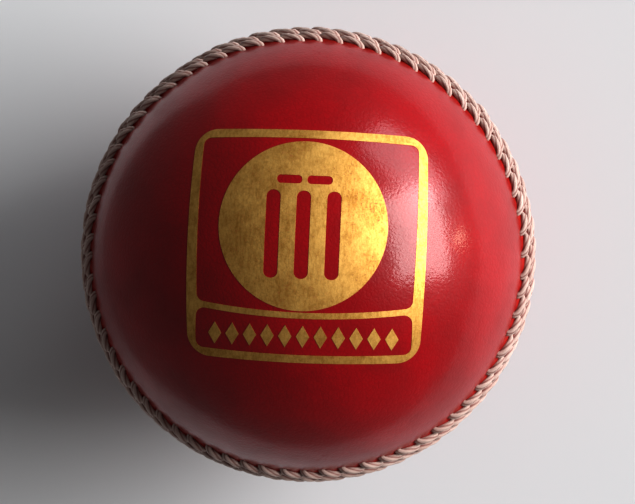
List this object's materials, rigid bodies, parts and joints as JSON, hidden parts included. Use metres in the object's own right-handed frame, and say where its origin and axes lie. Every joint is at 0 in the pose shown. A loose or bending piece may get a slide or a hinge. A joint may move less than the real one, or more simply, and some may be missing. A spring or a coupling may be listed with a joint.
{
  "type": "cricket ball",
  "caption": "Red leather cricket ball: two stitched cups with a raised seam and a gold stamp, over a core of cork and wound yarn.",
  "frame": {"origin": "centre of the ball", "axes": "+Z through the pole of the upper cup, which carries the crest; the seam lies in the XY plane; +Y towards the crest's top"},
  "size_m": [0.0744, 0.0744, 0.072],
  "materials": {
    "cover_leather": "deep red lacquered hide, fine grain, high gloss",
    "seam_thread": "waxed off-white linen, twisted plies",
    "crest_foil": "hot-stamped gold leaf, mottled",
    "core_cork": "raw cork",
    "core_yarn": "wound worsted yarn",
    "nucleus": "moulded cork and rubber"
  },
  "bodies": {
    "root": {"core_nucleus": "nucleus", "cork_layer_1": "core_cork", "yarn_winding_1": "core_yarn", "cork_layer_2": "core_cork", "yarn_winding_2": "core_yarn", "cork_layer_3": "core_cork", "yarn_winding_3": "core_yarn", "cork_layer_4": "core_cork", "yarn_winding_4": "core_yarn", "cork_layer_5": "core_cork", "yarn_winding_5": "core_yarn", "upper_leather_cup": "cover_leather", "lower_leather_cup": "cover_leather", "closing_thread": "seam_thread", "upper_middle_thread": "seam_thread", "upper_outer_thread": "seam_thread", "lower_middle_thread": "seam_thread", "lower_outer_thread": "seam_thread", "crest_border_foil": "crest_foil", "crest_disc_foil": "crest_foil", "crest_panel_foil": "crest_foil"}
  },
  "joints": []
}
